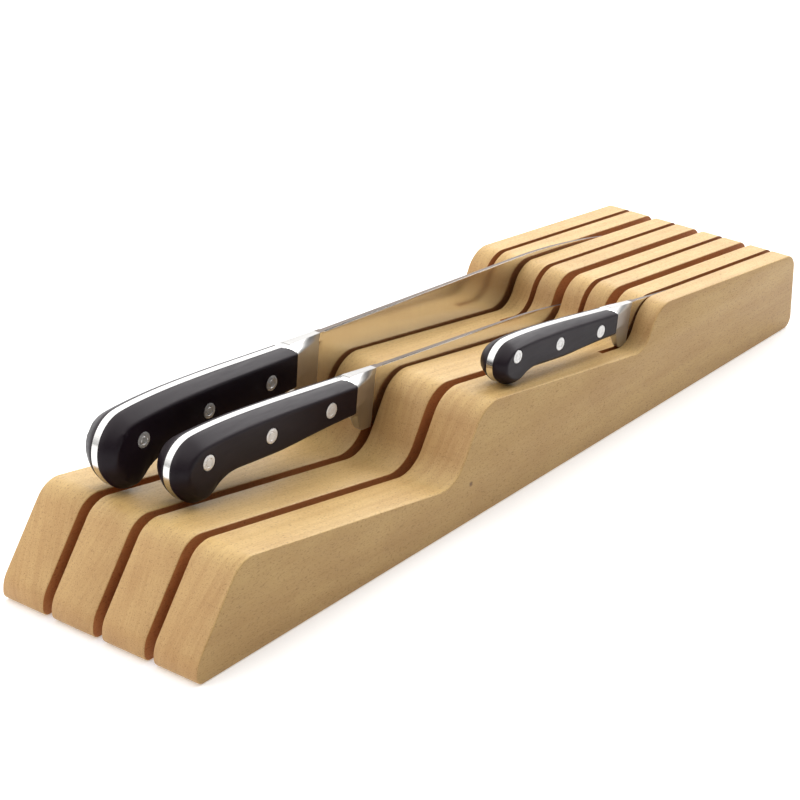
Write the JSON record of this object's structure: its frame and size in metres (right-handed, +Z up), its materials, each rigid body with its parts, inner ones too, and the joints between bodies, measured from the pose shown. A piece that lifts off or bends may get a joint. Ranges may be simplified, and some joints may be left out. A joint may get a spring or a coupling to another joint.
{
  "type": "in-drawer knife tray with knives",
  "caption": "Low stepped beech tray for a drawer, boards on edge with blade slots between them, holding forged riveted kitchen knives whose handles rest on its steps.",
  "frame": {"origin": "middle of the tray's underside, on the drawer floor it lies on", "axes": "+X across the boards, +Y along the tray from the low nose and the handles to the high back end, +Z up"},
  "size_m": [0.098, 0.4, 0.0707],
  "materials": {
    "beech": "oiled satin, fine straight grain with short flecks",
    "spacer_beech": "sawn, unfinished",
    "dowel_beech": "sawn, unfinished",
    "blade_steel": "finely polished",
    "handle_black": "satin black",
    "rivet_steel": "polished flush"
  },
  "bodies": {
    "tray": {"side_board_left": "beech", "inner_board_left": "beech", "inner_board_right": "beech", "side_board_right": "beech", "spacer_left": "spacer_beech", "spacer_middle": "spacer_beech", "spacer_right": "spacer_beech", "dowel_front": "dowel_beech", "dowel_middle": "dowel_beech", "dowel_rear": "dowel_beech"},
    "chef_knife": {"chef_blade": "blade_steel", "chef_scale_left": "handle_black", "chef_scale_right": "handle_black", "chef_rivet_front": "rivet_steel", "chef_rivet_middle": "rivet_steel", "chef_rivet_rear": "rivet_steel"},
    "utility_knife": {"utility_blade": "blade_steel", "utility_scale_left": "handle_black", "utility_scale_right": "handle_black", "utility_rivet_front": "rivet_steel", "utility_rivet_middle": "rivet_steel", "utility_rivet_rear": "rivet_steel"},
    "paring_knife": {"paring_blade": "blade_steel", "paring_scale_left": "handle_black", "paring_scale_right": "handle_black", "paring_rivet_front": "rivet_steel", "paring_rivet_middle": "rivet_steel", "paring_rivet_rear": "rivet_steel"}
  },
  "joints": [
    {"name": "chef_knife_lift", "type": "slide", "parent": "tray", "child": "chef_knife", "axis": [0, 0, 1], "range_m": [0, 0.08]},
    {"name": "utility_knife_lift", "type": "slide", "parent": "tray", "child": "utility_knife", "axis": [0, 0, 1], "range_m": [0, 0.08]},
    {"name": "paring_knife_lift", "type": "slide", "parent": "tray", "child": "paring_knife", "axis": [0, 0, 1], "range_m": [0, 0.08]}
  ]
}
